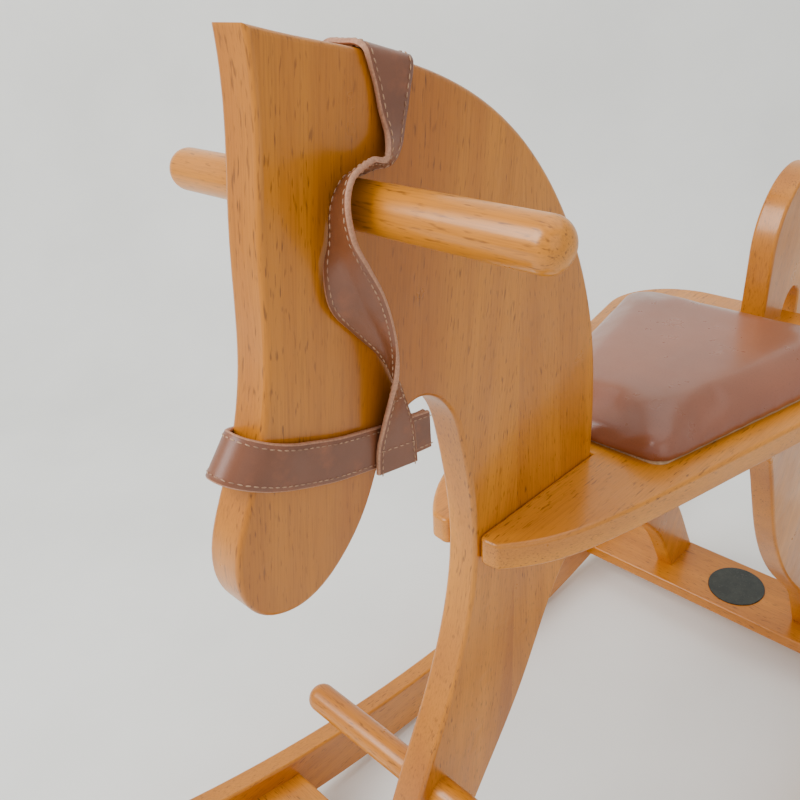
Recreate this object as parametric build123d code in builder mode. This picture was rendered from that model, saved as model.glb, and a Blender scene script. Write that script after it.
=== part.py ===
from build123d import *
import math
import os

os.makedirs("parts", exist_ok=True)

# A child's rocking horse of lacquered beech boards, with a padded seat and a leather bridle.
# Frame: X forward (the nose), Y to the horse's left, Z up, floor at Z = 0, millimetres.

# ---- driving dimensions -------------------------------------------------------------------
seat_height = 472         # top of the seat board above the floor
seat_thick = 22
board = 26                # thickness of the head board and the tail board
leg_thick = 22            # thickness of each hind leg
leg_spread = 95           # middle of a hind leg from the middle of the horse

arc_radius = 1400         # underside of the runners
runner_depth = 62
runner_thick = 22
runner_reach = 464        # half the length of a runner, before its tips are rounded
runner_tip_round = 26
base_inner = 404          # clear width between the two runners

plank_thick = 17
front_plank_width = 100
front_plank_x = 349
front_plank_lift = 42     # top face above the runner's underside
rear_plank_width = 96
rear_plank_x = -298
rear_plank_lift = 25
rear_plank_tilt = 4       # degrees, back edge up

bar_diameter = 25         # hand bar and foot bar
hand_bar_length = 278
foot_bar_length = 278
hand_bar_x = 359
hand_bar_rise = 256       # axis above the seat board's top
foot_bar_x = 313
foot_bar_drop = 222       # axis below the seat board's top

head_back = 120           # where the mane meets the seat
head_seam_x = 220         # glue line between the two planks of the head board
seat_rear = -272
prong_tip = 266
prong_round = 7
seat_corner_round = 78

cushion_front = 109
cushion_rear = -194
cushion_front_half = 70
cushion_rear_half = 136
cushion_thick = 30
cushion_base_thick = 6

strap_width = 26
strap_thick = 3.2
badge_radius = 36
badge_thick = 1.6
badge_y = 4

dowel_radius = 4
dowel_length = 32
screw_radius = 2
screw_head_radius = 4
edge_round = 3            # worked edges of the boards

# ---- clearances ---------------------------------------------------------------------------
bar_gap = 0.1             # round bar in its hole, on the radius
dowel_gap = 0.1           # glued dowel in its hole, on the radius
dowel_end_gap = 0.5       # glue space past each end of a dowel
slot_gap = 0.2            # seat slot beside the head board
soft_gap = 0.4            # leather beside wood

# ---- places worked out from them ----------------------------------------------------------
seat_under = seat_height - seat_thick
hand_bar_z = seat_height + hand_bar_rise
foot_bar_z = seat_height - foot_bar_drop
bar_radius = bar_diameter / 2
front_plank_tilt = math.degrees(math.asin(front_plank_x / arc_radius))


def arc_height(x):
    """Height of the runners' curved underside at x."""
    return arc_radius - math.sqrt(arc_radius ** 2 - x ** 2)


def plank_plane(x, lift, tilt):
    """Plane of a cross plank's top face, its local X across the plank's width."""
    a = math.radians(tilt)
    return Plane(
        origin=(x, 0, arc_height(x) + lift),
        x_dir=(math.cos(a), 0, math.sin(a)),
        z_dir=(-math.sin(a), 0, math.cos(a)),
    )


front_plane = plank_plane(front_plank_x, front_plank_lift, front_plank_tilt)
rear_plane = plank_plane(rear_plank_x, rear_plank_lift, -rear_plank_tilt)


def top_of(plane, x):
    """Height of a plank's top face at x."""
    across = plane.x_dir
    return plane.origin.Z + (x - plane.origin.X) * across.Z / across.X


def on_plank(plane, x):
    return (x, top_of(plane, x))


def above_seat(x, rise):
    return (x, seat_height + rise)


def dowels_at(plane, spots):
    """Dowel places square to a plane, centred on it."""
    return [plane * Location((x, y, 0)) for x, y in spots]


def drill(places, radius, length):
    """Blind holes for dowels in the piece being built."""
    with Locations(*places):
        Cylinder(radius + dowel_gap, length + 2 * dowel_end_gap, mode=Mode.SUBTRACT)


def keep_piece(piece, name):
    piece.part.label = name
    export_step(piece.part, f"parts/{name}.step")


# dowels: two in each end of each plank, and two in each joint of a leg, the tail and the head
plank_end_places = []
for plane, width in ((front_plane, front_plank_width), (rear_plane, rear_plank_width)):
    for side in (1, -1):
        for across in (-width / 4, width / 4):
            middle = plane * Location((across, side * base_inner / 2, -plank_thick / 2))
            plank_end_places.append(middle * Location((0, 0, 0), (90, 0, 0)))

front_leg_foot = (322, 389)
hind_leg_foot = (-343, -283)
hind_leg_top = (-125, -12)
front_foot_places = dowels_at(front_plane, [(-8, 0), (20, 0)])
hind_foot_places = dowels_at(rear_plane, [(-30, leg_spread), (-2, leg_spread),
                                          (-30, -leg_spread), (-2, -leg_spread)])
under_seat = Plane.XY.offset(seat_under)
hind_top_places = dowels_at(under_seat, [(-100, leg_spread), (-38, leg_spread),
                                         (-100, -leg_spread), (-38, -leg_spread)])
tail_foot = (-258, -206)
tail_places = dowels_at(Plane.XY.offset(seat_height), [(-244, 0), (-220, 0)])
prong_places = [Plane(origin=(x, side * board / 2, seat_height - seat_thick / 2),
                      x_dir=(1, 0, 0), z_dir=(0, 1, 0)).location
                for x in (150, 200) for side in (1, -1)]
seam_plane = Plane(origin=(head_seam_x, 0, 0), x_dir=(0, 1, 0), z_dir=(1, 0, 0))
seam_places = [seam_plane * Location((0, seat_height + rise, 0)) for rise in (-70, 70, 150, 230)]
prong_dowel_length = 20
foot_dowel_length = 26
seat_dowel_length = 26    # shorter, so that it stays inside the seat board


# ---- head board: two planks glued along an upright seam ------------------------------------
def head_outline():
    """Horse head, neck and front leg in one board, standing on the front plank."""
    with BuildPart() as whole:
        with BuildSketch(Plane.XZ):
            with BuildLine():
                ear = above_seat(409, 340)
                front = Spline(
                    ear, above_seat(409, 310), above_seat(416, 250), above_seat(423, 180),
                    above_seat(440, 128), above_seat(456, 80), above_seat(446, 52),
                    above_seat(416, 41), above_seat(386, 55), above_seat(362, 84),
                    above_seat(344, 116), above_seat(318, 131), above_seat(292, 116),
                    above_seat(278, 80), above_seat(269, 30), above_seat(267, -20),
                    above_seat(277, -78), above_seat(302, -145), above_seat(339, -220),
                    above_seat(365, -290), above_seat(382, -345),
                    on_plank(front_plane, front_leg_foot[1]),
                )
                sole = Line(front @ 1, on_plank(front_plane, front_leg_foot[0]))
                calf = Spline(sole @ 1, above_seat(300, -330), above_seat(266, -272),
                              above_seat(202, -181), above_seat(154, -97),
                              (head_back, seat_under), tangents=[(-0.35, 1), (0, 1)])
                neck = Line(calf @ 1, above_seat(head_back, 10))
                Spline(neck @ 1, above_seat(135, 131), above_seat(171, 207),
                       above_seat(228, 271), above_seat(298, 310), above_seat(360, 328), ear,
                       tangents=[(0, 1), (1, 0.28)])
            make_face()
        extrude(amount=board / 2, both=True)
        rims = faces().filter_by(Plane.XZ).edges()
        above_sole = top_of(front_plane, front_leg_foot[1]) + 4
        fillet(rims.filter_by(lambda e: e.center().Z > above_sole), edge_round)
        with Locations((hand_bar_x, 0, hand_bar_z), (foot_bar_x, 0, foot_bar_z)):
            Cylinder(bar_radius + bar_gap, 2 * board, rotation=(90, 0, 0), mode=Mode.SUBTRACT)
        drill(front_foot_places, dowel_radius, foot_dowel_length)
        drill(prong_places, dowel_radius, prong_dowel_length)
        drill(seam_places, dowel_radius, dowel_length)
    return whole.part


head_seam = Plane.YZ.offset(head_seam_x)
with BuildPart() as head_front_plank:
    add(head_outline())
    split(bisect_by=head_seam, keep=Keep.TOP)
keep_piece(head_front_plank, "head_front_plank")

with BuildPart() as head_rear_plank:
    add(head_outline())
    split(bisect_by=head_seam, keep=Keep.BOTTOM)
keep_piece(head_rear_plank, "head_rear_plank")


# ---- hand bar and foot bar, round with domed ends ------------------------------------------
def round_bar(x, z, length):
    with BuildPart() as bar:
        with Locations((x, 0, z)):
            Cylinder(bar_radius, length, rotation=(90, 0, 0))
        fillet(edges().filter_by(GeomType.CIRCLE), bar_radius * 0.86)
    return bar


hand_bar = round_bar(hand_bar_x, hand_bar_z, hand_bar_length)
keep_piece(hand_bar, "hand_bar")
foot_bar = round_bar(foot_bar_x, foot_bar_z, foot_bar_length)
keep_piece(foot_bar, "foot_bar")

# ---- seat board: two prongs beside the head board, wider towards the back ------------------
screw_spots = [(80, 40), (80, -40), (-140, 60), (-140, -60)]
slot_half = board / 2 + slot_gap
with BuildPart() as seat_board:
    with BuildSketch(Plane.XY.offset(seat_under)):
        with BuildLine():
            inner = Line((head_back - slot_gap, 0), (head_back - slot_gap, slot_half))
            flank = Line(inner @ 1, (prong_tip, slot_half))
            tip = Line(flank @ 1, (prong_tip - 2, slot_half + 17))
            side = Spline(tip @ 1, (prong_tip - 40, 57), (180, 73), (28, 108), (-120, 141),
                          (seat_rear, 171))
            Line(side @ 1, (seat_rear, 0))
            mirror(about=Plane.XZ)
        make_face()
        rear_corners = vertices().group_by(Axis.X)[0]
        fillet(rear_corners.filter_by(lambda v: abs(v.Y) > 100), seat_corner_round)
        prong_corners = vertices().filter_by(lambda v: v.X > prong_tip - 5)
        fillet(prong_corners, prong_round)
    extrude(amount=seat_thick)
    fillet(edges().group_by(Axis.Z)[-1] + edges().group_by(Axis.Z)[0], edge_round)
    drill(prong_places, dowel_radius, prong_dowel_length)
    drill(hind_top_places, dowel_radius, seat_dowel_length)
    drill(tail_places, dowel_radius, seat_dowel_length)
    with Locations(*[(x, y, seat_under) for x, y in screw_spots]):
        Cylinder(screw_radius + dowel_gap, 4 * seat_thick, mode=Mode.SUBTRACT)
        Cylinder(screw_head_radius + dowel_gap, 6, mode=Mode.SUBTRACT)
keep_piece(seat_board, "seat_board")


# ---- cushion: plywood base under a padded cover --------------------------------------------
def cushion_corners(inset):
    """Corners of the cushion's outline, drawn in by an inset."""
    front = (cushion_front - inset, cushion_front_half - inset)
    rear = (cushion_rear + inset, cushion_rear_half - inset)
    return [front, rear, (rear[0], -rear[1]), (front[0], -front[1])]


cushion_front_round = 18
cushion_rear_round = 30
cushion_wrap = 5
with BuildPart() as cushion_base:
    with BuildSketch(Plane.XY.offset(seat_height)):
        Polygon(*cushion_corners(cushion_wrap), align=None)
        fillet(vertices().group_by(Axis.X)[-1], cushion_front_round - cushion_wrap)
        fillet(vertices().group_by(Axis.X)[0], cushion_rear_round - cushion_wrap)
    extrude(amount=cushion_base_thick)
    with Locations(*[(x, y, seat_height) for x, y in screw_spots]):
        Cylinder(screw_radius + dowel_gap, 4 * cushion_base_thick, mode=Mode.SUBTRACT)
keep_piece(cushion_base, "cushion_base")

with BuildPart() as cushion_pad:
    with BuildSketch(Plane.XY.offset(seat_height)):
        Polygon(*cushion_corners(0), align=None)
        fillet(vertices().group_by(Axis.X)[-1], cushion_front_round)
        fillet(vertices().group_by(Axis.X)[0], cushion_rear_round)
    extrude(amount=cushion_thick)
    fillet(edges().group_by(Axis.Z)[-1], 9)
    with BuildSketch(Plane.XY.offset(seat_height)):
        Polygon(*cushion_corners(cushion_wrap - soft_gap), align=None)
        fillet(vertices().group_by(Axis.X)[-1], cushion_front_round - cushion_wrap)
        fillet(vertices().group_by(Axis.X)[0], cushion_rear_round - cushion_wrap)
    extrude(amount=cushion_base_thick + soft_gap, mode=Mode.SUBTRACT)
keep_piece(cushion_pad, "cushion_pad")

screw_length = seat_thick + cushion_base_thick - 3
with BuildPart() as cushion_screws:
    with Locations(*[(x, y, seat_under + 0.2) for x, y in screw_spots]):
        Cylinder(screw_head_radius, 2.5, align=(Align.CENTER, Align.CENTER, Align.MIN))
        Cylinder(screw_radius, screw_length, align=(Align.CENTER, Align.CENTER, Align.MIN))
keep_piece(cushion_screws, "cushion_screws")

# ---- tail board: rises behind the cushion, arches over the seat's back edge and hangs -------
with BuildPart() as tail_board:
    with BuildSketch(Plane.XZ):
        with BuildLine():
            stem = Line(above_seat(tail_foot[1], 0), above_seat(tail_foot[1], 76))
            curl = Spline(
                stem @ 1, above_seat(-212, 108), above_seat(-236, 140), above_seat(-288, 157),
                above_seat(-344, 128), above_seat(-370, 62), above_seat(-368, -10),
                above_seat(-355, -70), above_seat(-350, -83), above_seat(-339, -88),
                above_seat(-328, -82), above_seat(-321, -66), above_seat(-308, -34),
                above_seat(-300, -2), above_seat(-295, 16), above_seat(-279, 25),
                above_seat(-264, 17), above_seat(tail_foot[0], 0),
            )
            Line(curl @ 1, stem @ 0)
        make_face()
    extrude(amount=board / 2, both=True)
    rims = faces().filter_by(Plane.XZ).edges()
    fillet(rims.filter_by(lambda e: e.center().Z > seat_height + 1), edge_round)
    drill(tail_places, dowel_radius, seat_dowel_length)
keep_piece(tail_board, "tail_board")


# ---- hind legs: hocked legs between the seat and the rear plank -----------------------------
def hind_leg(side):
    with BuildPart() as leg:
        with BuildSketch(Plane.XZ.offset(-side * leg_spread)):
            with BuildLine():
                thigh = Spline((hind_leg_top[1], seat_under), above_seat(-34, -63),
                               above_seat(-77, -155), above_seat(-123, -222),
                               above_seat(-180, -282), above_seat(-235, -338),
                               above_seat(-267, -388), on_plank(rear_plane, hind_leg_foot[1]))
                heel = Line(thigh @ 1, on_plank(rear_plane, hind_leg_foot[0]))
                hock = Spline(heel @ 1, above_seat(-321, -375), above_seat(-287, -318),
                              above_seat(-239, -258), above_seat(-186, -190),
                              above_seat(-148, -110), (hind_leg_top[0], seat_under))
                Line(hock @ 1, thigh @ 0)
            make_face()
        extrude(amount=leg_thick / 2, both=True)
        low = top_of(rear_plane, hind_leg_foot[1]) + 6
        rims = faces().filter_by(Plane.XZ).edges()
        fillet(rims.filter_by(lambda e: low < e.center().Z < seat_under - 2), edge_round)
        drill(hind_foot_places, dowel_radius, foot_dowel_length)
        drill(hind_top_places, dowel_radius, seat_dowel_length)
    return leg


hind_leg_left = hind_leg(1)
keep_piece(hind_leg_left, "hind_leg_left")
hind_leg_right = hind_leg(-1)
keep_piece(hind_leg_right, "hind_leg_right")


# ---- cross planks between the runners --------------------------------------------------------
def cross_plank(plane, width, foot_places):
    with BuildPart() as plank:
        with BuildSketch(plane):
            Rectangle(width, base_inner)
        extrude(amount=-plank_thick)
        fillet(edges().filter_by(Axis.Y), edge_round)
        drill(plank_end_places, dowel_radius, dowel_length)
        drill(foot_places, dowel_radius, foot_dowel_length)
    return plank


front_cross_plank = cross_plank(front_plane, front_plank_width, front_foot_places)
keep_piece(front_cross_plank, "front_cross_plank")
rear_cross_plank = cross_plank(rear_plane, rear_plank_width, hind_foot_places)
keep_piece(rear_cross_plank, "rear_cross_plank")

with BuildPart() as badge:
    with BuildSketch(rear_plane):
        with Locations((0, badge_y)):
            Circle(badge_radius)
    extrude(amount=badge_thick)
    fillet(edges().filter_by(GeomType.CIRCLE).group_by(Axis.Z)[-1], 0.6)
keep_piece(badge, "badge")


# ---- runners ---------------------------------------------------------------------------------
def runner(side):
    reach = math.degrees(math.asin(runner_reach / arc_radius))
    with BuildPart() as rocker:
        with BuildSketch(Plane.XZ.offset(-side * (base_inner + runner_thick) / 2)):
            with BuildLine():
                under = CenterArc((0, arc_radius), arc_radius, 270 - reach, 2 * reach)
                over = CenterArc((0, arc_radius), arc_radius - runner_depth, 270 - reach, 2 * reach)
                Line(under @ 0, over @ 0)
                Line(under @ 1, over @ 1)
            make_face()
            fillet(vertices(), runner_tip_round)
        extrude(amount=runner_thick / 2, both=True)
        fillet(faces().filter_by(Plane.XZ).edges(), edge_round)
        drill(plank_end_places, dowel_radius, dowel_length)
    return rocker


runner_left = runner(1)
keep_piece(runner_left, "runner_left")
runner_right = runner(-1)
keep_piece(runner_right, "runner_right")


# ---- bridle: a strap over the poll and down both cheeks, and a loop round the muzzle ----------
strap_inner = board / 2 + soft_gap
strap_outer = strap_inner + strap_thick
bar_clear = bar_radius + soft_gap

with BuildPart() as cheek_strap:
    with BuildSketch(Plane.XZ):
        with BuildLine():
            front_edge = Spline(
                above_seat(349, 330), above_seat(339, 312), above_seat(337, 296),
                above_seat(342, 282), above_seat(354, 276), above_seat(367, 271),
                above_seat(375, 259), above_seat(376, 240), above_seat(380, 222),
                above_seat(372, 204), above_seat(359, 186), above_seat(352, 168),
                above_seat(353, 150), above_seat(356, 129),
            )
            lower_end = Line(front_edge @ 1, above_seat(329, 121))
            rear_edge = Spline(
                lower_end @ 1, above_seat(331, 140), above_seat(333, 160), above_seat(334, 182),
                above_seat(339, 204), above_seat(349, 224), above_seat(360, 238),
                above_seat(365, 251), above_seat(358, 263), above_seat(342, 268),
                above_seat(328, 272), above_seat(320, 285), above_seat(316, 300),
                above_seat(313, 319),
            )
            Line(rear_edge @ 1, front_edge @ 0)
        make_face()
    extrude(amount=strap_outer, both=True)
    with BuildSketch(Plane.XZ):
        with BuildLine():
            Polyline(above_seat(290, 309), above_seat(370, 333), above_seat(410, 100),
                     above_seat(290, 100), close=True)
        make_face()
    extrude(amount=strap_inner, both=True, mode=Mode.SUBTRACT)
    for side in (1, -1):
        with BuildSketch(Plane.XZ.offset(-side * strap_inner)):
            with BuildLine():
                outside = CenterArc((hand_bar_x, hand_bar_z), bar_clear + strap_thick, -35, 115)
                inside = CenterArc((hand_bar_x, hand_bar_z), bar_clear, -35, 115)
                Line(outside @ 0, inside @ 0)
                Line(outside @ 1, inside @ 1)
            make_face()
        extrude(amount=-side * strap_width)
    with Locations((hand_bar_x, 0, hand_bar_z)):
        Cylinder(bar_clear, 4 * strap_outer, rotation=(90, 0, 0), mode=Mode.SUBTRACT)
keep_piece(cheek_strap, "cheek_strap")

noseband_tilt = math.radians(18)
noseband_rear = -50       # inside of the loop behind the jaw and in front of the nose
noseband_front = 57
noseband_plane = Plane(
    origin=(385, 0, seat_height + 121),
    x_dir=(math.cos(noseband_tilt), 0, math.sin(noseband_tilt)),
    z_dir=(-math.sin(noseband_tilt), 0, math.cos(noseband_tilt)),
)
with BuildPart() as noseband:
    with BuildSketch(noseband_plane):
        with Locations(((noseband_front + noseband_rear) / 2, 0)):
            RectangleRounded(noseband_front - noseband_rear + 2 * strap_thick,
                             2 * strap_outer, strap_thick + 1)
            RectangleRounded(noseband_front - noseband_rear, 2 * strap_inner, 1,
                             mode=Mode.SUBTRACT)
    extrude(amount=strap_width / 2, both=True)
keep_piece(noseband, "noseband")


# ---- hidden dowels, a group for each joint ----------------------------------------------------
def dowel_group(name, places, length):
    with BuildPart() as dowels:
        with Locations(*places):
            Cylinder(dowel_radius, length)
    keep_piece(dowels, name)


dowel_group("plank_dowels", plank_end_places, dowel_length)
dowel_group("front_leg_dowels", front_foot_places, foot_dowel_length)
dowel_group("hind_foot_dowels", hind_foot_places, foot_dowel_length)
dowel_group("hind_top_dowels", hind_top_places, seat_dowel_length)
dowel_group("tail_dowels", tail_places, seat_dowel_length)
dowel_group("prong_dowels", prong_places, prong_dowel_length)
dowel_group("seam_dowels", seam_places, dowel_length)
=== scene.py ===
import math

import bmesh
import bpy
from bpy.props import FloatProperty, FloatVectorProperty, PointerProperty
from mathutils import Matrix, Vector


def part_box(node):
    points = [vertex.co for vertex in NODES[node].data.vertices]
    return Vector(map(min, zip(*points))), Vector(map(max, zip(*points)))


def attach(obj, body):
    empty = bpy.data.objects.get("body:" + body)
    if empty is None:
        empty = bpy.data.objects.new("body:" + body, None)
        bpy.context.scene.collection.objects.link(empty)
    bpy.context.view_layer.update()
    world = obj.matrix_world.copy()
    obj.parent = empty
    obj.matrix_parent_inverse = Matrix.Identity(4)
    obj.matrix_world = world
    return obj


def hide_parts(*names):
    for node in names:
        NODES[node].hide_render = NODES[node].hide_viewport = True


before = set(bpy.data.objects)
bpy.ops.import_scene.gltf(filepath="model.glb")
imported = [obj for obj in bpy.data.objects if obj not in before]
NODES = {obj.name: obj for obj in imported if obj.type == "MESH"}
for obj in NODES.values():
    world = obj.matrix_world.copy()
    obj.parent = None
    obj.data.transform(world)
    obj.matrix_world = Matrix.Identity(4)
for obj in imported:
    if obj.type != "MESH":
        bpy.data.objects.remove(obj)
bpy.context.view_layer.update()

bl_info = {
    "name": "Rocking horse finish",
    "version": (1, 0, 0),
    "blender": (4, 5, 0),
    "location": "View3D > Sidebar > Rocking Horse",
    "description": "Lacquered beech, padded seat and leather bridle of a child's rocking horse",
    "category": "Object",
}

MM = 0.001
PAD_LOW, PAD_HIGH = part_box("cushion_pad")
SEAT_TOP = Vector((0, 0, PAD_LOW.z))


# ---- sizes and colours that a user would change ---------------------------------------------
class WoodSettings(bpy.types.PropertyGroup):
    """Colours and gloss of the lacquered beech."""
    light: FloatVectorProperty(
        name="Light grain", description="Colour of the pale grain under the lacquer",
        subtype="COLOR", default=(0.69, 0.262, 0.008), min=0, max=1)
    deep: FloatVectorProperty(
        name="Deep grain", description="Colour of the deeper amber grain",
        subtype="COLOR", default=(0.37, 0.110, 0.003), min=0, max=1)
    fleck: FloatVectorProperty(
        name="Flecks", description="Colour of the short dark flecks of beech",
        subtype="COLOR", default=(0.075, 0.020, 0.002), min=0, max=1)
    lacquer: FloatProperty(
        name="Lacquer", description="How strong the clear lacquer over the wood is",
        subtype="FACTOR", default=0.30, min=0, max=1)


class CushionSettings(bpy.types.PropertyGroup):
    """Shape and cover of the padded seat."""
    front_half: FloatProperty(
        name="Front half width", description="Half the cushion's width at its front edge",
        subtype="DISTANCE", unit="LENGTH", default=0.070)
    rear_half: FloatProperty(
        name="Rear half width", description="Half the cushion's width at its rear edge",
        subtype="DISTANCE", unit="LENGTH", default=0.136)
    corner: FloatProperty(
        name="Corner radius", description="Radius of the front corners; the rear ones are larger",
        subtype="DISTANCE", unit="LENGTH", default=0.020)
    pressure: FloatProperty(
        name="Filling pressure", description="Pressure of the foam under the cover", default=4.0)
    swell: FloatProperty(
        name="Largest swell", description="How far the cover may move out as the foam fills it",
        subtype="DISTANCE", unit="LENGTH", default=0.006)
    cover: FloatVectorProperty(
        name="Cover", description="Colour of the leatherette cover",
        subtype="COLOR", default=(0.215, 0.066, 0.028), min=0, max=1)


class BridleSettings(bpy.types.PropertyGroup):
    """Sizes and colours of the leather bridle and its stitches."""
    thickness: FloatProperty(
        name="Strap thickness", description="Two layers of leather sewn together",
        subtype="DISTANCE", unit="LENGTH", default=0.0030)
    stitch_pitch: FloatProperty(
        name="Stitch pitch", description="Distance from one stitch to the next",
        subtype="DISTANCE", unit="LENGTH", default=0.0042)
    stitch_length: FloatProperty(
        name="Stitch length", description="Length of thread that shows in one stitch",
        subtype="DISTANCE", unit="LENGTH", default=0.0030)
    thread: FloatProperty(
        name="Thread radius", description="Half the thickness of the sewing thread",
        subtype="DISTANCE", unit="LENGTH", default=0.00042)
    margin: FloatProperty(
        name="Stitch margin", description="Distance of the stitches from the strap's edge",
        subtype="DISTANCE", unit="LENGTH", default=0.0030)
    leather: FloatVectorProperty(
        name="Leather", description="Colour of the strap's face",
        subtype="COLOR", default=(0.215, 0.067, 0.024), min=0, max=1)
    cut: FloatVectorProperty(
        name="Cut edge", description="Colour of the strap's cut edges",
        subtype="COLOR", default=(0.50, 0.235, 0.13), min=0, max=1)
    sewing: FloatVectorProperty(
        name="Thread colour", description="Colour of the sewing thread",
        subtype="COLOR", default=(0.50, 0.29, 0.17), min=0, max=1)


class StageSettings(bpy.types.PropertyGroup):
    """Camera and lights."""
    lens: FloatProperty(
        name="Lens", description="Focal length of the camera in millimetres",
        default=37.1, min=10)
    key: FloatProperty(
        name="Key light", description="Power of the large soft light in front", default=44.0,
        unit="POWER")
    fill: FloatProperty(
        name="Fill light", description="Power of the soft light on the near side", default=9.0,
        unit="POWER")


# ---- shader helpers --------------------------------------------------------------------------
def new_material(name):
    """An empty node material with a Principled shader, as (material, tree, shader)."""
    material = bpy.data.materials.new(name)
    material.use_nodes = True
    tree = material.node_tree
    tree.nodes.clear()
    out = tree.nodes.new("ShaderNodeOutputMaterial")
    shader = tree.nodes.new("ShaderNodeBsdfPrincipled")
    tree.links.new(shader.outputs["BSDF"], out.inputs["Surface"])
    return material, tree, shader


def add(tree, kind, inputs=None, **settings):
    """A node with its settings and inputs; an input is a value or another node's socket."""
    made = tree.nodes.new(kind)
    for key, value in settings.items():
        setattr(made, key, value)
    for key, value in (inputs or {}).items():
        if isinstance(value, bpy.types.NodeSocket):
            tree.links.new(value, made.inputs[key])
        else:
            made.inputs[key].default_value = value
    return made


def mapped(tree, vector, scale=(1, 1, 1), turn=(0, 0, 0), shift=(0, 0, 0)):
    return add(tree, "ShaderNodeMapping", {"Vector": vector, "Scale": scale, "Rotation": turn,
                                           "Location": shift}).outputs["Vector"]


def noise(tree, vector, scale, detail=2.0, roughness=0.5, distortion=0.0):
    return add(tree, "ShaderNodeTexNoise", {"Vector": vector, "Scale": scale, "Detail": detail,
                                            "Roughness": roughness,
                                            "Distortion": distortion}).outputs["Fac"]


def remap(tree, value, low, high, to_low=0.0, to_high=1.0):
    """A value scaled from one range to another, held inside it."""
    return add(tree, "ShaderNodeMapRange", {"Value": value, "From Min": low, "From Max": high,
                                            "To Min": to_low, "To Max": to_high}).outputs["Result"]


def maths(tree, operation, first, second):
    return add(tree, "ShaderNodeMath", {0: first, 1: second}, operation=operation).outputs["Value"]


def blend(tree, factor, first, second, kind="MIX"):
    mix = add(tree, "ShaderNodeMix", data_type="RGBA", blend_type=kind)
    for index, value in ((0, factor), (6, first), (7, second)):
        if isinstance(value, bpy.types.NodeSocket):
            tree.links.new(value, mix.inputs[index])
        else:
            mix.inputs[index].default_value = value
    return mix.outputs[2]


def bump(tree, height, strength, distance, base=None):
    made = add(tree, "ShaderNodeBump", {"Height": height, "Strength": strength,
                                        "Distance": distance})
    if base is not None:
        tree.links.new(base, made.inputs["Normal"])
    return made.outputs["Normal"]


def paint(colour):
    return (colour[0], colour[1], colour[2], 1.0)


def edge_mask(tree, radius):
    """1 on worked edges and 0 on flat faces, from a rounded normal."""
    soft = add(tree, "ShaderNodeBevel", {"Radius": radius}, samples=4).outputs["Normal"]
    flat = add(tree, "ShaderNodeNewGeometry").outputs["Normal"]
    same = add(tree, "ShaderNodeVectorMath", {0: soft, 1: flat}, operation="DOT_PRODUCT")
    return remap(tree, same.outputs["Value"], 0.985, 0.80)


# ---- wood ------------------------------------------------------------------------------------
ALONG_X = (0, math.radians(-90), 0)
ALONG_Y = (math.radians(90), 0, 0)
ALONG_Z = (0, 0, 0)


def lacquered_beech(name, turn, shift, settings, tone_and_light=0.0):
    """Honey-coloured beech with fine pores and dark flecks; turn lays the grain along Z."""
    material, tree, shader = new_material(name)
    place = add(tree, "ShaderNodeTexCoord").outputs["Object"]
    board = mapped(tree, place, turn=turn, shift=shift)
    stretched = mapped(tree, board, scale=(1, 1, 0.10))
    streaked = mapped(tree, board, scale=(1, 1, 0.03))

    cloudy = noise(tree, stretched, 11, 3, 0.55, 0.6)
    rings = add(tree, "ShaderNodeTexWave", {"Vector": stretched, "Scale": 14, "Distortion": 9,
                                            "Detail": 3, "Detail Scale": 1.2}).outputs["Fac"]
    pores = noise(tree, streaked, 900, 3, 0.6)
    fleck_noise = noise(tree, mapped(tree, board, scale=(1, 1, 0.16)), 620, 1.5, 0.5)
    patches = noise(tree, stretched, 34, 2, 0.5)
    flecks = maths(tree, "MULTIPLY", remap(tree, fleck_noise, 0.60, 0.72),
                   remap(tree, patches, 0.35, 0.62, 0.25, 1.0))

    # The board's last number lifts its whole beech towards the light grain. This is partly the
    # board's own tone and partly painted light for how brightly that board is lit.
    body = maths(tree, "ADD", remap(tree, cloudy, 0.30, 0.72), tone_and_light)
    colour = blend(tree, body, paint(settings.deep), paint(settings.light))
    colour = blend(tree, remap(tree, rings, 0.0, 1.0, 0.0, 0.22), colour, paint(settings.deep))
    colour = blend(tree, remap(tree, pores, 0.45, 0.75, 0.0, 0.30), colour, paint(settings.fleck))
    colour = blend(tree, remap(tree, flecks, 0.0, 1.0, 0.0, 0.80), colour, paint(settings.fleck))
    blotches = noise(tree, board, 7, 2, 0.5)
    colour = blend(tree, remap(tree, blotches, 0.50, 0.80, 0.0, 0.30), colour,
                   paint(settings.deep))

    # Painted highlight: every rounded edge is blended towards the light grain colour, standing in for
    # edges catching the light. The same edge mask also places the chips below, which are wear.
    edges = edge_mask(tree, 0.0035)
    colour = blend(tree, maths(tree, "MULTIPLY", edges, 0.22), colour, paint(settings.light))
    chips = remap(tree, noise(tree, board, 95, 3, 0.65), 0.66, 0.72)
    chips = maths(tree, "MULTIPLY", chips, edges)
    colour = blend(tree, maths(tree, "MULTIPLY", chips, 0.75), colour, (0.07, 0.022, 0.006, 1))
    tree.links.new(colour, shader.inputs["Base Color"])

    smear = noise(tree, board, 26, 4, 0.6)
    rough = maths(tree, "ADD", remap(tree, smear, 0.3, 0.7, 0.27, 0.42),
                  maths(tree, "MULTIPLY", chips, 0.3))
    tree.links.new(rough, shader.inputs["Roughness"])
    shader.inputs["Coat Weight"].default_value = settings.lacquer
    shader.inputs["Coat Roughness"].default_value = 0.16
    shader.inputs["Coat Tint"].default_value = (1.0, 0.86, 0.62, 1)

    grain = maths(tree, "ADD", pores, maths(tree, "MULTIPLY", flecks, -0.8))
    fine = bump(tree, grain, 0.16, 0.0002)
    dents = remap(tree, noise(tree, board, 48, 2, 0.5), 0.62, 0.80, 0.0, -1.0)
    wavy = maths(tree, "ADD", dents, maths(tree, "MULTIPLY", chips, -1.2))
    tree.links.new(bump(tree, wavy, 0.30, 0.0006, fine), shader.inputs["Normal"])
    return material


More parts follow.
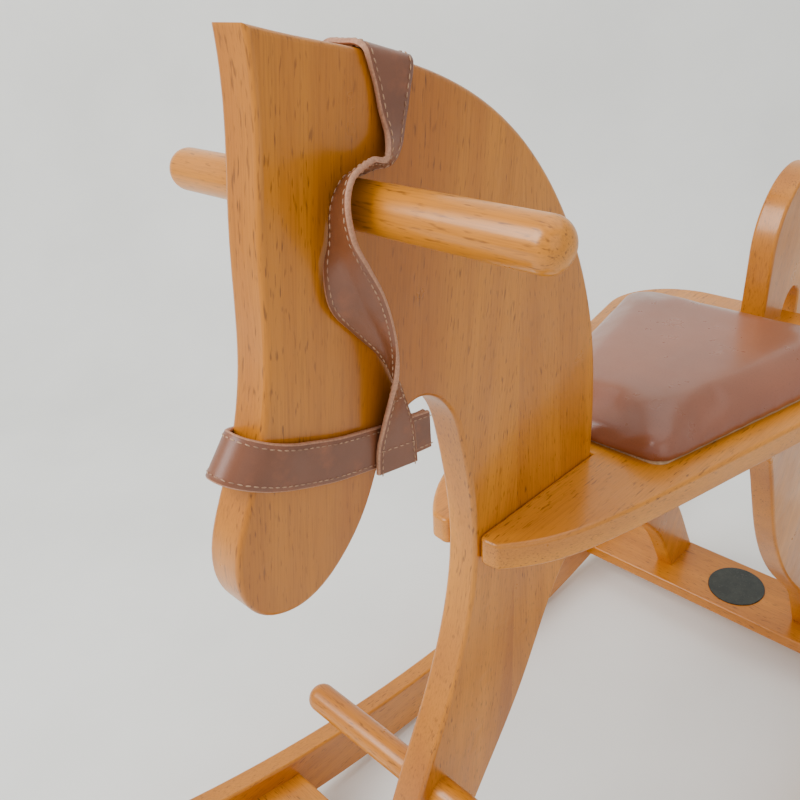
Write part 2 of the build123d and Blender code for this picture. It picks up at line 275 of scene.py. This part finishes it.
def bare_wood(name, turn, colour, layered=False):
    """Unlacquered dowel beech, or plywood with its layers stacked along Z."""
    material, tree, shader = new_material(name)
    place = add(tree, "ShaderNodeTexCoord").outputs["Object"]
    board = mapped(tree, place, turn=turn)
    streaks = noise(tree, mapped(tree, board, scale=(1, 1, 0.05)), 420, 3, 0.6)
    dark = tuple(0.55 * part for part in colour)
    shade = blend(tree, remap(tree, streaks, 0.35, 0.7), paint(colour), paint(dark))
    if layered:
        plies = add(tree, "ShaderNodeTexWave", {"Vector": place, "Scale": 170.0,
                                                "Distortion": 0.6},
                    bands_direction="Z").outputs["Fac"]
        shade = blend(tree, remap(tree, plies, 0.4, 0.6, 0.0, 0.45), shade, paint(dark))
    tree.links.new(shade, shader.inputs["Base Color"])
    tree.links.new(remap(tree, streaks, 0.3, 0.7, 0.6, 0.8), shader.inputs["Roughness"])
    tree.links.new(bump(tree, streaks, 0.2, 0.0003), shader.inputs["Normal"])
    return material


def dress(node_name, material):
    """Puts a material on every slot of a CAD node."""
    mesh = NODES[node_name].data
    mesh.materials.clear()
    mesh.materials.append(material)


# ---- leather, cover, thread, metal, disc -------------------------------------------------------
def leather(name, colour, gloss):
    """Smooth chestnut leather: pebbled fine grain, rubbed patches and soft creases."""
    material, tree, shader = new_material(name)
    place = add(tree, "ShaderNodeTexCoord").outputs["Object"]
    pebbles = add(tree, "ShaderNodeTexVoronoi", {"Vector": place, "Scale": 1300, "Randomness": 1},
                  feature="DISTANCE_TO_EDGE").outputs["Distance"]
    rubbed = noise(tree, place, 60, 4, 0.6)
    cloudy = noise(tree, place, 18, 3, 0.5)
    light = tuple(min(1.0, 1.45 * part) for part in colour)
    dark = tuple(0.62 * part for part in colour)
    shade = blend(tree, remap(tree, cloudy, 0.35, 0.68), paint(dark), paint(colour))
    shade = blend(tree, remap(tree, rubbed, 0.52, 0.78, 0.0, 0.7), shade, paint(light))
    creases = remap(tree, pebbles, 0.0, 0.12, 0.35, 0.0)
    shade = blend(tree, creases, shade, paint(dark))
    tree.links.new(shade, shader.inputs["Base Color"])
    tree.links.new(remap(tree, rubbed, 0.3, 0.7, gloss - 0.05, gloss + 0.12),
                   shader.inputs["Roughness"])
    shader.inputs["Coat Weight"].default_value = 0.25
    shader.inputs["Coat Roughness"].default_value = 0.28
    fine = bump(tree, remap(tree, pebbles, 0.0, 0.25), 0.20, 0.00015)
    folds = noise(tree, place, 150, 3, 0.55, 0.8)
    tree.links.new(bump(tree, folds, 0.12, 0.0006, fine), shader.inputs["Normal"])
    return material


def leatherette(name, colour):
    """Glossy brown cover with a very fine pebble grain and faint pulls."""
    material, tree, shader = new_material(name)
    place = add(tree, "ShaderNodeTexCoord").outputs["Object"]
    pebbles = add(tree, "ShaderNodeTexVoronoi", {"Vector": place, "Scale": 900},
                  feature="SMOOTH_F1").outputs["Distance"]
    cloudy = noise(tree, place, 9, 3, 0.5)
    light = tuple(min(1.0, 1.30 * part) for part in colour)
    shade = blend(tree, remap(tree, cloudy, 0.35, 0.7), paint(colour), paint(light))
    shade = blend(tree, remap(tree, pebbles, 0.45, 0.85, 0.0, 0.35), shade,
                  paint(tuple(0.6 * part for part in colour)))
    tree.links.new(shade, shader.inputs["Base Color"])
    smear = noise(tree, place, 40, 4, 0.6)
    tree.links.new(remap(tree, smear, 0.3, 0.7, 0.26, 0.36), shader.inputs["Roughness"])
    shader.inputs["Coat Weight"].default_value = 0.35
    shader.inputs["Coat Roughness"].default_value = 0.22
    fine = bump(tree, pebbles, 0.10, 0.00012)
    pulls = noise(tree, mapped(tree, place, scale=(1, 2.2, 1)), 16, 2, 0.4, 0.4)
    tree.links.new(bump(tree, pulls, 0.10, 0.002, fine), shader.inputs["Normal"])
    return material


def thread(name, colour):
    material, tree, shader = new_material(name)
    place = add(tree, "ShaderNodeTexCoord").outputs["Object"]
    twist = noise(tree, place, 2600, 2, 0.5)
    soiled = noise(tree, place, 90, 2, 0.5)
    shade = blend(tree, remap(tree, twist, 0.35, 0.65, 0.0, 0.5), paint(colour),
                  paint(tuple(0.6 * part for part in colour)))
    shade = blend(tree, remap(tree, soiled, 0.45, 0.65, 0.0, 0.6), shade, (0.16, 0.06, 0.03, 1))
    tree.links.new(shade, shader.inputs["Base Color"])
    tree.links.new(remap(tree, twist, 0.3, 0.7, 0.6, 0.8), shader.inputs["Roughness"])
    tree.links.new(bump(tree, twist, 0.4, 0.0002), shader.inputs["Normal"])
    return material


def cut_edge(name, colour):
    """The strap's cut edge: pale leather with fine fibres, drawn without its two layers and the dark
    line of glue between them.
    """
    material, tree, shader = new_material(name)
    place = add(tree, "ShaderNodeTexCoord").outputs["Object"]
    fibres = noise(tree, place, 700, 3, 0.6)
    shade = blend(tree, remap(tree, fibres, 0.35, 0.7), paint(colour),
                  paint(tuple(0.62 * part for part in colour)))
    tree.links.new(shade, shader.inputs["Base Color"])
    tree.links.new(remap(tree, fibres, 0.3, 0.7, 0.45, 0.6), shader.inputs["Roughness"])
    tree.links.new(bump(tree, fibres, 0.25, 0.0003), shader.inputs["Normal"])
    return material


def zinc_steel(name):
    material, tree, shader = new_material(name)
    place = add(tree, "ShaderNodeTexCoord").outputs["Object"]
    spangle = noise(tree, place, 800, 2, 0.5)
    shade = blend(tree, remap(tree, spangle, 0.3, 0.7), (0.58, 0.58, 0.60, 1),
                  (0.42, 0.41, 0.38, 1))
    tree.links.new(shade, shader.inputs["Base Color"])
    shader.inputs["Metallic"].default_value = 1.0
    tree.links.new(remap(tree, spangle, 0.3, 0.7, 0.25, 0.45), shader.inputs["Roughness"])
    tree.links.new(bump(tree, spangle, 0.1, 0.0002), shader.inputs["Normal"])
    return material


def dark_disc(name):
    """Matte greenish-black disc with a rubbed, speckled face."""
    material, tree, shader = new_material(name)
    place = add(tree, "ShaderNodeTexCoord").outputs["Object"]
    speckle = noise(tree, place, 420, 3, 0.6)
    worn = noise(tree, place, 70, 3, 0.6)
    shade = blend(tree, remap(tree, worn, 0.4, 0.75), (0.012, 0.016, 0.012, 1),
                  (0.040, 0.046, 0.036, 1))
    shade = blend(tree, remap(tree, speckle, 0.58, 0.72, 0.0, 0.5), shade,
                  (0.085, 0.09, 0.075, 1))
    tree.links.new(shade, shader.inputs["Base Color"])
    tree.links.new(remap(tree, worn, 0.3, 0.7, 0.42, 0.62), shader.inputs["Roughness"])
    tree.links.new(bump(tree, speckle, 0.2, 0.0003), shader.inputs["Normal"])
    return material


# ---- mesh helpers ------------------------------------------------------------------------------
def object_from(name, mesh_data):
    made = bpy.data.objects.new(name, mesh_data)
    bpy.context.scene.collection.objects.link(made)
    return made


def smooth(made, angle=50):
    for face in made.data.polygons:
        face.use_smooth = True
    made.data.set_sharp_from_angle(angle=math.radians(angle))


def evaluated_mesh(made, name):
    """The object's shape with its modifiers, as a plain mesh."""
    graph = bpy.context.evaluated_depsgraph_get()
    mesh = bpy.data.meshes.new_from_object(made.evaluated_get(graph))
    mesh.name = name
    return mesh


def spline_point(points, place):
    """A point on the smooth curve through the points; place runs from 0 to len(points) - 1."""
    last = len(points) - 1
    index = min(int(place), last - 1)
    share = place - index
    p1 = points[index]
    p2 = points[index + 1]
    p0 = points[index - 1] if index > 0 else p1 + (p1 - p2)
    p3 = points[index + 2] if index + 2 <= last else p2 + (p2 - p1)
    return 0.5 * (2 * p1 + (p2 - p0) * share + (2 * p0 - 5 * p1 + 4 * p2 - p3) * share ** 2
                  + (3 * p1 - p0 - 3 * p2 + p3) * share ** 3)


# ---- cushion -----------------------------------------------------------------------------------
CLOTH_FRAMES = 20         # enough for the cover to settle
CLOTH_CELL = 5 * MM       # size of the cover's mesh cells


def rounded_outline(settings, inset):
    """Outline of the cushion seen from above, drawn in by an inset."""
    front = PAD_HIGH.x - inset
    rear = PAD_LOW.x + inset
    corners = [
        (Vector((front, settings.front_half - inset)), settings.corner),
        (Vector((rear, settings.rear_half - inset)), 1.5 * settings.corner),
        (Vector((rear, inset - settings.rear_half)), 1.5 * settings.corner),
        (Vector((front, inset - settings.front_half)), settings.corner),
    ]
    outline = []
    for index, (corner, radius) in enumerate(corners):
        before = (corners[index - 1][0] - corner).normalized()
        after = (corners[(index + 1) % 4][0] - corner).normalized()
        half = before.angle(after) / 2
        centre = corner + (before + after).normalized() * (radius / math.sin(half))
        start = corner + before * (radius / math.tan(half)) - centre
        finish = corner + after * (radius / math.tan(half)) - centre
        for step in range(9):
            outline.append(centre + start.slerp(finish, step / 8).normalized() * radius)
    return outline


def pad_blank(settings):
    """The cushion's closed blank: flat below, rolled edges and a low crown above."""
    layers = [(0.0, 0.004), (0.002, 0.0015), (0.008, 0.0), (0.016, 0.0015), (0.022, 0.006),
              (0.0255, 0.014), (0.0275, 0.026), (0.0285, 0.042)]
    mesh = bpy.data.meshes.new("cushion_blank")
    bm = bmesh.new()
    rings = []
    for height, inset in layers:
        ring = [bm.verts.new((point.x, point.y, PAD_LOW.z + height))
                for point in rounded_outline(settings, inset)]
        rings.append(ring)
    for low, high in zip(rings, rings[1:]):
        for index in range(len(low)):
            after = (index + 1) % len(low)
            bm.faces.new((low[index], low[after], high[after], high[index]))
    bm.faces.new(list(reversed(rings[0])))
    bm.faces.new(rings[-1])
    bmesh.ops.recalc_face_normals(bm, faces=bm.faces)
    bm.to_mesh(mesh)
    bm.free()
    return object_from("cushion_blank", mesh)


def inflate(blank, settings):
    """Lets the foam fill the cover, with its underside held on the plywood base."""
    base = PAD_LOW.z + 0.0015
    rest = [vertex.co.copy() for vertex in blank.data.vertices]
    held = blank.vertex_groups.new(name="held")
    for vertex in blank.data.vertices:
        if vertex.co.z < base + 0.002:
            held.add([vertex.index], 1.0, "REPLACE")
    cloth = blank.modifiers.new("Cloth", "CLOTH")
    cloth.settings.vertex_group_mass = "held"
    cloth.settings.use_pressure = True
    cloth.settings.uniform_pressure_force = settings.pressure
    cloth.settings.effector_weights.gravity = 0
    cloth.settings.tension_stiffness = 40
    cloth.settings.bending_stiffness = 2
    cloth.point_cache.frame_start = 1
    cloth.point_cache.frame_end = CLOTH_FRAMES
    scene = bpy.context.scene
    for number in range(1, CLOTH_FRAMES + 1):
        scene.frame_set(number)
    settled = evaluated_mesh(blank, "cushion")
    for vertex, start in zip(settled.vertices, rest):
        move = vertex.co - start
        if move.length > settings.swell:
            move *= settings.swell / move.length
        vertex.co = start + move
    blank.modifiers.remove(cloth)
    scene.frame_set(1)
    return settled


class HORSE_OT_cushion(bpy.types.Operator):
    """Makes the padded seat: a foam-filled cover, swollen by cloth simulation"""
    bl_idname = "horse.cushion"
    bl_label = "Padded seat"

    def execute(self, context):
        settings = context.scene.horse_cushion
        blank = pad_blank(settings)
        remesh = blank.modifiers.new("Remesh", "REMESH")
        remesh.mode = "VOXEL"
        remesh.voxel_size = CLOTH_CELL
        even = evaluated_mesh(blank, "cushion_even")
        blank.modifiers.remove(remesh)
        blank.data = even
        cover = inflate(blank, settings)
        cushion = object_from("seat_cushion", cover)
        bpy.data.objects.remove(blank)
        cushion.data.materials.clear()
        cushion.data.materials.append(leatherette("leatherette cover", settings.cover))
        smooth(cushion, 180)
        soften = cushion.modifiers.new("Soften", "SMOOTH")
        soften.factor = 0.6
        soften.iterations = 6
        finer = cushion.modifiers.new("Finer", "SUBSURF")
        finer.levels = 1
        finer.render_levels = 1
        finished = evaluated_mesh(cushion, "seat_cushion")
        cushion.modifiers.clear()
        cushion.data = finished
        for vertex in finished.vertices:
            vertex.co.z = max(vertex.co.z, PAD_LOW.z + 0.0002)
        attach(cushion, "root")
        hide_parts("cushion_pad")
        return {"FINISHED"}


# ---- bridle ------------------------------------------------------------------------------------
def station(first, second, crease=0.0):
    """One place along a strap: its two edges, in millimetres above the seat board, and its crease."""
    return SEAT_TOP + Vector(first) * MM, SEAT_TOP + Vector(second) * MM, crease * MM


def strap_frames(stations, steps):
    """Evenly sampled places along a strap, as (centre, half across, normal, crease)."""
    firsts = [each[0] for each in stations]
    seconds = [each[1] for each in stations]
    creases = [Vector((each[2], 0, 0)) for each in stations]
    count = (len(stations) - 1) * steps
    places = [index / steps for index in range(count + 1)]
    rows = [(spline_point(firsts, place), spline_point(seconds, place),
             spline_point(creases, place).x) for place in places]
    frames = []
    for index, (first, second, crease) in enumerate(rows):
        before = rows[max(index - 1, 0)]
        after = rows[min(index + 1, count)]
        onward = (after[0] + after[1] - before[0] - before[1]).normalized()
        across = (first - second) / 2
        across -= onward * across.dot(onward) * 0.5
        normal = across.cross(onward).normalized()
        frames.append(((first + second) / 2, across, normal, crease))
    return frames


def strap_mesh(name, frames, thickness, face_material, edge_material):
    """A flat strap with rounded cut edges and, where it is twisted hard, a lengthwise crease."""
    half = thickness / 2
    across_shares = [-1.0, -0.94, -0.72, -0.48, -0.22, 0.0, 0.22, 0.48, 0.72, 0.94, 1.0]
    section = [(share, half * (0.55 if abs(share) == 1.0 else 1.0)) for share in across_shares]
    section += [(-share, -height) for share, height in section]
    mesh = bpy.data.meshes.new(name)
    bm = bmesh.new()
    rings = []
    for centre, across, normal, crease in frames:
        ring = []
        for share, height in section:
            fold = crease * math.exp(-(share / 0.30) ** 2)
            ring.append(bm.verts.new(centre + across * share + normal * (height - fold)))
        rings.append(ring)
    count = len(section)
    cut_places = {9, 10, 11, 20, 21, 0}
    for low, high in zip(rings, rings[1:]):
        for index in range(count):
            after = (index + 1) % count
            face = bm.faces.new((low[index], low[after], high[after], high[index]))
            face.material_index = 1 if index in cut_places else 0
            face.smooth = True
    for ring, backwards in ((rings[0], False), (rings[-1], True)):
        cap = bm.faces.new(list(reversed(ring)) if backwards else ring)
        cap.material_index = 1
    bmesh.ops.recalc_face_normals(bm, faces=bm.faces)
    bm.to_mesh(mesh)
    bm.free()
    strap = object_from(name, mesh)
    mesh.materials.append(face_material)
    mesh.materials.append(edge_material)
    smooth(strap, 55)
    return strap


def stitch_rows(frames, settings, first, last):
    """Lines of stitches along both edges on both faces of a strap, as lists of points."""
    lines = []
    for side in (1, -1):
        for face in (1, -1):
            line = []
            for centre, across, normal, crease in frames[first:last]:
                share = 1 - settings.margin / across.length
                lift = settings.thickness / 2 + 0.25 * settings.thread
                line.append(centre + across * side * share + normal * face * lift)
            lines.append(line)
    return lines


def stitch_tree(name, material):
    """Geometry Nodes: stitches of thread set end to end along a curve."""
    tree = bpy.data.node_groups.new(name, "GeometryNodeTree")
    tree.interface.new_socket("Geometry", in_out="INPUT", socket_type="NodeSocketGeometry")
    for label in ("Pitch", "Stitch Length", "Thread Radius"):
        tree.interface.new_socket(label, in_out="INPUT", socket_type="NodeSocketFloat")
    tree.interface.new_socket("Geometry", in_out="OUTPUT", socket_type="NodeSocketGeometry")
    start = tree.nodes.new("NodeGroupInput").outputs
    spaced = add(tree, "GeometryNodeResampleCurve", {"Curve": start["Geometry"],
                                                     "Length": start["Pitch"]}, mode="LENGTH")
    ball = add(tree, "GeometryNodeMeshUVSphere", {"Segments": 6, "Rings": 5, "Radius": 1.0})
    length = add(tree, "ShaderNodeMath", {0: start["Stitch Length"], 1: 0.5},
                 operation="MULTIPLY").outputs["Value"]
    size = add(tree, "ShaderNodeCombineXYZ", {"X": start["Thread Radius"],
                                              "Y": start["Thread Radius"], "Z": length})
    tangent = add(tree, "GeometryNodeInputTangent").outputs["Tangent"]
    jitter = add(tree, "FunctionNodeRandomValue", {"Min": (-0.14, -0.14, -0.14),
                                                   "Max": (0.14, 0.14, 0.14), "Seed": 7},
                 data_type="FLOAT_VECTOR")
    heading = add(tree, "ShaderNodeVectorMath", {0: tangent, 1: jitter.outputs["Value"]},
                  operation="ADD").outputs["Vector"]
    turn = add(tree, "FunctionNodeAlignRotationToVector", {"Vector": heading}, axis="Z")
    placed = add(tree, "GeometryNodeInstanceOnPoints", {
        "Points": spaced.outputs["Curve"], "Instance": ball.outputs["Mesh"],
        "Rotation": turn.outputs["Rotation"], "Scale": size.outputs["Vector"]})
    real = add(tree, "GeometryNodeRealizeInstances", {"Geometry": placed.outputs["Instances"]})
    shaded = add(tree, "GeometryNodeSetShadeSmooth", {"Geometry": real.outputs["Geometry"]})
    dyed = add(tree, "GeometryNodeSetMaterial", {"Geometry": shaded.outputs["Geometry"],
                                                 "Material": material})
    end = tree.nodes.new("NodeGroupOutput")
    tree.links.new(dyed.outputs["Geometry"], end.inputs["Geometry"])
    return tree


def sew(name, lines, settings, tree):
    """Runs the stitch tree along lines of points and keeps the result as one mesh."""
    curve = bpy.data.curves.new(name, "CURVE")
    curve.dimensions = "3D"
    for line in lines:
        spline = curve.splines.new("POLY")
        spline.points.add(len(line) - 1)
        for point, place in zip(spline.points, line):
            point.co = (place.x, place.y, place.z, 1)
    guide = object_from(name + "_guide", curve)
    modifier = guide.modifiers.new("Stitches", "NODES")
    modifier.node_group = tree
    sockets = {item.name: item.identifier for item in tree.interface.items_tree
               if item.in_out == "INPUT"}
    modifier[sockets["Pitch"]] = settings.stitch_pitch
    modifier[sockets["Stitch Length"]] = settings.stitch_length
    modifier[sockets["Thread Radius"]] = settings.thread
    mesh = evaluated_mesh(guide, name)
    bpy.data.objects.remove(guide)
    return object_from(name, mesh)


# Edges of the cheek strap on the left, from the middle of the poll down to the noseband: first
# the edge that starts in front, then the edge that starts behind, then the crease's depth.
CHEEK_LEFT = [
    station((347, 0, 327.6), (314, 0, 318)),
    station((347, 10, 327.4), (314, 10, 317.8)),
    station((346, 15.2, 323.5), (314.5, 15.2, 314.5)),
    station((342, 15.6, 312), (318, 15.6, 302)),
    station((340, 16.5, 298), (322, 15.6, 290)),
    station((339.5, 20, 285), (327, 16, 278)),
    station((348, 26, 276.5), (334, 15.4, 271.5)),
    station((364, 32, 279), (347, 15.2, 270.5)),
    station((378, 36, 275), (364, 15.2, 269)),
    station((383.5, 38, 265), (373.8, 15.4, 258)),
    station((382, 38.5, 251), (377, 15.4, 240)),
    station((375, 38.5, 236), (382.5, 15.6, 227), 0.6),
    station((364, 37, 216), (381.5, 15.8, 209), 1.6),
    station((356, 34, 198), (368, 15.8, 192), 1.8),
    station((351.5, 31, 180), (351, 15.8, 173), 1.2),
    station((351, 28.5, 164), (341, 15.8, 157), 0.4),
    station((353.5, 25, 149), (334.5, 16, 140)),
    station((357.5, 21.8, 132), (330.5, 18.6, 123.5)),
    station((359, 18.9, 119), (328.8, 18.9, 108.5)),
    station((360.5, 18.9, 104), (328.2, 18.9, 94.5)),
]

# Middle line of the noseband: along the muzzle, across it and above the seat board, then how far
# its top edge leans back, in millimetres.
NOSEBAND_LINE = [
    ((313, 15.4, 110), 2), ((325, 15.2, 111.5), 1), ((342, 15.1, 114), 0),
    ((362, 15.3, 118), -1), ((385, 15.8, 123), -2.5), ((405, 16.4, 129.5), -5),
    ((421, 16.8, 135.5), -7), ((434, 15, 141.5), -8), ((443, 9.5, 146), -8),
    ((446, 1.5, 147.5), -8), ((443, -8, 145), -8), ((433, -14.4, 140), -8),
    ((418, -15.4, 134), -6), ((390, -15.2, 124), -4), ((362, -15, 117), -3),
    ((342, -14.8, 112), -2), ((330, -11.5, 109.5), -1), ((326, -4, 109), 0),
    ((325.5, 4, 109), 0), ((324, 9.8, 109.5), 0), ((319, 11.9, 109.5), 1),
    ((312.5, 12.2, 109.5), 2),
]
STRAP_HALF = 13 * MM
RIGHT_BULGE = 22 * MM     # how much further forward the right cheek strap swings out
BULGE_STATION = 11.5      # where along the stations it swings out most


def cheek_stations():
    """The whole cheek strap, from the left lower end over the poll to the right one."""
    right = []
    for index, (first, second, crease) in enumerate(CHEEK_LEFT):
        bulge = RIGHT_BULGE * math.exp(-((index - BULGE_STATION) / 2.0) ** 2)
        turn = Vector((bulge, 0, 0))
        right.append((Vector((first.x, -first.y, first.z)) + turn,
                      Vector((second.x, -second.y, second.z)) + 0.5 * turn, -crease))
    left = [(first, second, crease) for first, second, crease in reversed(CHEEK_LEFT)]
    return left + right[1:]


def noseband_stations():
    stations = []
    for place, lean in NOSEBAND_LINE:
        centre = SEAT_TOP + Vector(place) * MM
        up = Vector((lean * MM, 0, math.sqrt(STRAP_HALF ** 2 - (lean * MM) ** 2)))
        stations.append((centre + up, centre - up, 0.0))
    return stations


class HORSE_OT_bridle(bpy.types.Operator):
    """Makes the leather bridle: the cheek strap, the noseband and their stitches"""
    bl_idname = "horse.bridle"
    bl_label = "Leather bridle"

    def execute(self, context):
        settings = context.scene.horse_bridle
        face = leather("bridle leather", settings.leather, 0.40)
        edge = cut_edge("strap cut edge", settings.cut)
        tree = stitch_tree("stitches", thread("sewing thread", settings.sewing))

        cheek = strap_frames(cheek_stations(), 8)
        band = strap_frames(noseband_stations(), 8)
        made = [
            (strap_mesh("bridle_cheek_strap", cheek, settings.thickness, face, edge),
             "cheek_strap"),
            (strap_mesh("bridle_noseband", band, settings.thickness, face, edge), "noseband"),
        ]
        for strap, node_name in made:
            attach(strap, "root")
            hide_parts(node_name)

        rows = stitch_rows(cheek, settings, 0, len(cheek))
        rows += stitch_rows(band, settings, 0, len(band))
        for frames in (cheek[4:29], cheek[-29:-4]):
            for index in (4, 20):
                centre, across, normal, crease = frames[index]
                out = normal if normal.y * centre.y > 0 else -normal
                lift = out * (settings.thickness / 2 + 0.3 * settings.thread)
                rows.append([centre + across * share + lift for share in (-0.8, 0.0, 0.8)])
        stitches = sew("bridle_stitches", rows, settings, tree)
        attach(stitches, "root")
        return {"FINISHED"}


# ---- wood, screws and disc ---------------------------------------------------------------------
class HORSE_OT_wood(bpy.types.Operator):
    """Gives every board, bar, leg and runner its own lacquered beech"""
    bl_idname = "horse.wood"
    bl_label = "Lacquered beech"

    def execute(self, context):
        settings = context.scene.horse_wood
        # Each board's last number lifts its whole beech. This is partly its own tone and partly
        # painted light: higher for boards that catch the light (hand bar, seat board, front cross
        # plank), lower for those in shade under the seat (hind legs, rear cross plank).
        boards = {
            "head_front_plank": ((0, math.radians(7), 0), (0.0, 0.1, 0.2), 0.02),
            "head_rear_plank": ((0, math.radians(-4), 0), (0.7, 0.4, 0.9), 0.12),
            "hand_bar": (ALONG_Y, (1.1, 0.2, 0.3), 0.30),
            "foot_bar": (ALONG_Y, (2.1, 0.7, 0.6), 0.20),
            "seat_board": (ALONG_X, (0.3, 1.2, 0.5), 0.22),
            "tail_board": ((0, math.radians(10), 0), (1.7, 0.3, 2.2), 0.10),
            "hind_leg_left": ((0, math.radians(20), 0), (2.4, 1.3, 0.8), 0.05),
            "hind_leg_right": ((0, math.radians(20), 0), (3.1, 2.3, 0.1), 0.08),
            "front_cross_plank": (ALONG_Y, (0.9, 2.6, 1.4), 0.25),
            "rear_cross_plank": (ALONG_Y, (1.9, 3.6, 0.4), 0.05),
            "runner_left": (ALONG_X, (0.2, 4.1, 1.9), 0.12),
            "runner_right": (ALONG_X, (1.3, 5.2, 2.7), 0.18),
        }
        for name, (turn, shift, tone_and_light) in boards.items():
            wood = lacquered_beech(name.replace("_", " ") + " beech", turn, shift, settings, tone_and_light)
            dress(name, wood)
        dowel = bare_wood("dowel beech", ALONG_Z, (0.62, 0.42, 0.22))
        for name in NODES:
            if name.endswith("_dowels"):
                dress(name, dowel)
        dress("cushion_base", bare_wood("plywood", ALONG_X, (0.60, 0.42, 0.24), layered=True))
        return {"FINISHED"}


class HORSE_OT_fittings(bpy.types.Operator):
    """Finishes the screws under the seat and the blank disc on the rear plank"""
    bl_idname = "horse.fittings"
    bl_label = "Screws and disc"

    def execute(self, context):
        dress("cushion_screws", zinc_steel("zinc-plated steel"))
        dress("badge", dark_disc("dark disc"))
        return {"FINISHED"}


# ---- stage -------------------------------------------------------------------------------------
CAMERA_PLACE = SEAT_TOP + Vector((0.6261, 0.3117, 0.3575))
CAMERA_YAW = math.radians(45.6)
CAMERA_PITCH = math.radians(27.8)
CAMERA_ROLL = math.radians(-3.1)


def floor_material():
    material, tree, shader = new_material("pale floor")
    place = add(tree, "ShaderNodeTexCoord").outputs["Object"]
    mottled = noise(tree, place, 2.5, 4, 0.6)
    shade = blend(tree, remap(tree, mottled, 0.35, 0.65), (0.86, 0.86, 0.82, 1),
                  (0.80, 0.80, 0.76, 1))
    tree.links.new(shade, shader.inputs["Base Color"])
    tree.links.new(remap(tree, mottled, 0.3, 0.7, 0.7, 0.85), shader.inputs["Roughness"])
    return material


def floor_and_wall():
    """A pale floor that curves up into a pale wall behind the horse."""
    profile = [(6.0, 0.0), (-0.9, 0.0)]
    for degrees in range(6, 91, 6):
        angle = math.radians(degrees)
        profile.append((-0.9 - 0.6 * math.sin(angle), 0.6 - 0.6 * math.cos(angle)))
    profile += [(-1.5, 5.0)]
    mesh = bpy.data.meshes.new("floor")
    bm = bmesh.new()
    rows = []
    for side in (-7.0, 7.0):
        rows.append([bm.verts.new((along, side, height)) for along, height in profile])
    for index in range(len(profile) - 1):
        bm.faces.new((rows[0][index + 1], rows[0][index], rows[1][index], rows[1][index + 1]))
    bmesh.ops.recalc_face_normals(bm, faces=bm.faces)
    bm.to_mesh(mesh)
    bm.free()
    floor = object_from("floor", mesh)
    mesh.transform(Matrix.Rotation(math.radians(45), 4, "Z"))
    mesh.materials.append(floor_material())
    smooth(floor, 60)
    return floor


def soft_light(name, place, aim, power, size):
    lamp = bpy.data.lights.new(name, "AREA")
    lamp.energy = power
    lamp.size = size
    made = object_from(name, lamp)
    made.location = place
    made.rotation_euler = (Vector(aim) - Vector(place)).to_track_quat("-Z", "Y").to_euler()
    return made


class HORSE_OT_stage(bpy.types.Operator):
    """Sets the floor, the soft lights and the camera"""
    bl_idname = "horse.stage"
    bl_label = "Floor, lights and camera"

    def execute(self, context):
        settings = context.scene.horse_stage
        floor_and_wall()
        soft_light("key light", (1.9, -0.7, 2.1), (0.15, 0, 0.45), settings.key * 1.5, 1.6)
        soft_light("fill light", (0.9, 2.2, 1.5), (0.1, 0, 0.4), settings.fill, 2.0)
        soft_light("top light", (-0.4, 0.2, 2.6), (0, 0, 0.4), settings.fill * 1.6, 2.2)
        world = bpy.data.worlds.new("studio")
        world.use_nodes = True
        world.node_tree.nodes["Background"].inputs["Color"].default_value = (0.95, 0.97, 1.0, 1)
        world.node_tree.nodes["Background"].inputs["Strength"].default_value = 0.80
        context.scene.world = world

        camera = bpy.data.cameras.new("camera")
        camera.lens = settings.lens
        camera.sensor_width = 36
        camera.clip_start = 0.01
        viewer = object_from("camera", camera)
        heading = Vector((-math.cos(CAMERA_YAW), -math.sin(CAMERA_YAW), 0))
        ahead = heading * math.cos(CAMERA_PITCH) - Vector((0, 0, math.sin(CAMERA_PITCH)))
        right = ahead.cross(Vector((0, 0, 1))).normalized()
        up = right.cross(ahead)
        level_x = right * math.cos(CAMERA_ROLL) + up * math.sin(CAMERA_ROLL)
        level_y = up * math.cos(CAMERA_ROLL) - right * math.sin(CAMERA_ROLL)
        turn = Matrix((level_x, level_y, -ahead)).transposed()
        viewer.matrix_world = Matrix.Translation(CAMERA_PLACE) @ turn.to_4x4()
        context.scene.camera = viewer
        return {"FINISHED"}


# ---- panel and registration --------------------------------------------------------------------
OPERATORS = (HORSE_OT_wood, HORSE_OT_fittings, HORSE_OT_cushion, HORSE_OT_bridle, HORSE_OT_stage)


class HORSE_PT_panel(bpy.types.Panel):
    """Lists the steps that finish the rocking horse"""
    bl_idname = "HORSE_PT_panel"
    bl_label = "Rocking Horse"
    bl_space_type = "VIEW_3D"
    bl_region_type = "UI"
    bl_category = "Rocking Horse"

    def draw(self, context):
        for operator in OPERATORS:
            self.layout.operator(operator.bl_idname)
        for group in ("horse_wood", "horse_cushion", "horse_bridle", "horse_stage"):
            box = self.layout.box()
            settings = getattr(context.scene, group)
            for name in settings.__annotations__:
                box.prop(settings, name)


SETTINGS = {"horse_wood": WoodSettings, "horse_cushion": CushionSettings,
            "horse_bridle": BridleSettings, "horse_stage": StageSettings}
CLASSES = tuple(SETTINGS.values()) + OPERATORS + (HORSE_PT_panel,)


def register():
    for each in CLASSES:
        bpy.utils.register_class(each)
    for name, group in SETTINGS.items():
        setattr(bpy.types.Scene, name, PointerProperty(type=group))


def unregister():
    for name in SETTINGS:
        delattr(bpy.types.Scene, name)
    for each in reversed(CLASSES):
        bpy.utils.unregister_class(each)


def main():
    register()
    bpy.ops.horse.stage()
    bpy.ops.horse.wood()
    bpy.ops.horse.fittings()
    bpy.ops.horse.cushion()
    bpy.ops.horse.bridle()


if __name__ == "__main__":
    main()
